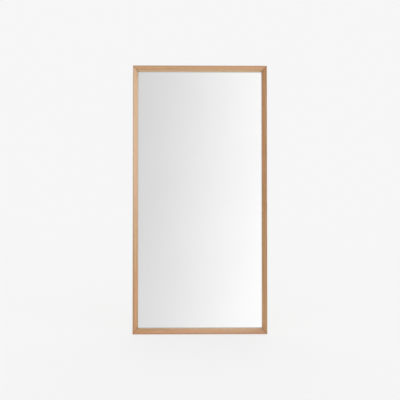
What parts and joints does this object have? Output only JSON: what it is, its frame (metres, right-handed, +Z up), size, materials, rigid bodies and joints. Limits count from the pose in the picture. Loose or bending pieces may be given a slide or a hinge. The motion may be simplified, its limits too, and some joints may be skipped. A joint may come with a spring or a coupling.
{
  "type": "full-length mirror",
  "caption": "Full-length leaning mirror: mitred oak frame sloping in to plain mirror glass, with a board back held by turn buttons, swinging hanger rings, wall bumpers and rubber feet.",
  "frame": {"origin": "middle of the bounding box's bottom, on the surface that the rubber feet stand on", "axes": "+Z up along the mirror's height, -Y out of the mirror's front, X across its width"},
  "size_m": [0.8, 0.048, 1.602],
  "materials": {
    "oak": "satin",
    "beech": "matte",
    "zinc_steel": "satin",
    "screw_steel": "satin",
    "ring_steel": "polished",
    "float_glass": "polished",
    "silvering": "polished",
    "safety_film": "satin",
    "foam": "matte",
    "fibreboard": "matte",
    "black_rubber": "matte",
    "grey_rubber": "matte"
  },
  "bodies": {
    "framed_mirror": {"left_stile": "oak", "right_stile": "oak", "top_rail": "oak", "bottom_rail": "oak", "mitre_dowels": "beech", "corner_plate_top_left": "zinc_steel", "corner_plate_top_right": "zinc_steel", "corner_plate_bottom_left": "zinc_steel", "corner_plate_bottom_right": "zinc_steel", "corner_plate_screws": "screw_steel", "mirror_glass": "float_glass", "silver_layer": "silvering", "safety_film": "safety_film", "foam_sheet": "foam", "backing_board": "fibreboard", "setting_blocks": "black_rubber", "edge_spacers": "grey_rubber", "turn_button_screws": "screw_steel", "hanger_strap_left": "zinc_steel", "hanger_strap_right": "zinc_steel", "hanger_screws": "screw_steel", "wall_bumpers": "black_rubber", "rubber_feet": "black_rubber"},
    "turn_button_left_top": {"turn_button_left_top": "zinc_steel"},
    "turn_button_left_middle": {"turn_button_left_middle": "zinc_steel"},
    "turn_button_left_bottom": {"turn_button_left_bottom": "zinc_steel"},
    "turn_button_right_top": {"turn_button_right_top": "zinc_steel"},
    "turn_button_right_middle": {"turn_button_right_middle": "zinc_steel"},
    "turn_button_right_bottom": {"turn_button_right_bottom": "zinc_steel"},
    "turn_button_top_left": {"turn_button_top_left": "zinc_steel"},
    "turn_button_top_right": {"turn_button_top_right": "zinc_steel"},
    "turn_button_bottom_left": {"turn_button_bottom_left": "zinc_steel"},
    "turn_button_bottom_right": {"turn_button_bottom_right": "zinc_steel"},
    "hanger_ring_left": {"hanger_ring_left": "ring_steel"},
    "hanger_ring_right": {"hanger_ring_right": "ring_steel"}
  },
  "joints": [
    {"name": "left_top_button_turn", "type": "hinge", "parent": "framed_mirror", "child": "turn_button_left_top", "pos_m": [-0.38975, 0.01875, 1.352], "axis": [0, 1, 0], "continuous": true},
    {"name": "left_middle_button_turn", "type": "hinge", "parent": "framed_mirror", "child": "turn_button_left_middle", "pos_m": [-0.38975, 0.01875, 0.802], "axis": [0, 1, 0], "continuous": true},
    {"name": "left_bottom_button_turn", "type": "hinge", "parent": "framed_mirror", "child": "turn_button_left_bottom", "pos_m": [-0.38975, 0.01875, 0.252], "axis": [0, 1, 0], "continuous": true},
    {"name": "right_top_button_turn", "type": "hinge", "parent": "framed_mirror", "child": "turn_button_right_top", "pos_m": [0.38975, 0.01875, 1.352], "axis": [0, 1, 0], "continuous": true},
    {"name": "right_middle_button_turn", "type": "hinge", "parent": "framed_mirror", "child": "turn_button_right_middle", "pos_m": [0.38975, 0.01875, 0.802], "axis": [0, 1, 0], "continuous": true},
    {"name": "right_bottom_button_turn", "type": "hinge", "parent": "framed_mirror", "child": "turn_button_right_bottom", "pos_m": [0.38975, 0.01875, 0.252], "axis": [0, 1, 0], "continuous": true},
    {"name": "top_left_button_turn", "type": "hinge", "parent": "framed_mirror", "child": "turn_button_top_left", "pos_m": [-0.2, 0.01875, 1.59175], "axis": [0, 1, 0], "continuous": true},
    {"name": "top_right_button_turn", "type": "hinge", "parent": "framed_mirror", "child": "turn_button_top_right", "pos_m": [0.2, 0.01875, 1.59175], "axis": [0, 1, 0], "continuous": true},
    {"name": "bottom_left_button_turn", "type": "hinge", "parent": "framed_mirror", "child": "turn_button_bottom_left", "pos_m": [-0.2, 0.01875, 0.01225], "axis": [0, 1, 0], "continuous": true},
    {"name": "bottom_right_button_turn", "type": "hinge", "parent": "framed_mirror", "child": "turn_button_bottom_right", "pos_m": [0.2, 0.01875, 0.01225], "axis": [0, 1, 0], "continuous": true},
    {"name": "left_ring_swing", "type": "hinge", "parent": "framed_mirror", "child": "hanger_ring_left", "pos_m": [-0.38975, 0.02075, 1.292], "axis": [1, 0, 0], "range_deg": [0, 178.5]},
    {"name": "right_ring_swing", "type": "hinge", "parent": "framed_mirror", "child": "hanger_ring_right", "pos_m": [0.38975, 0.02075, 1.292], "axis": [1, 0, 0], "range_deg": [0, 178.5]}
  ]
}
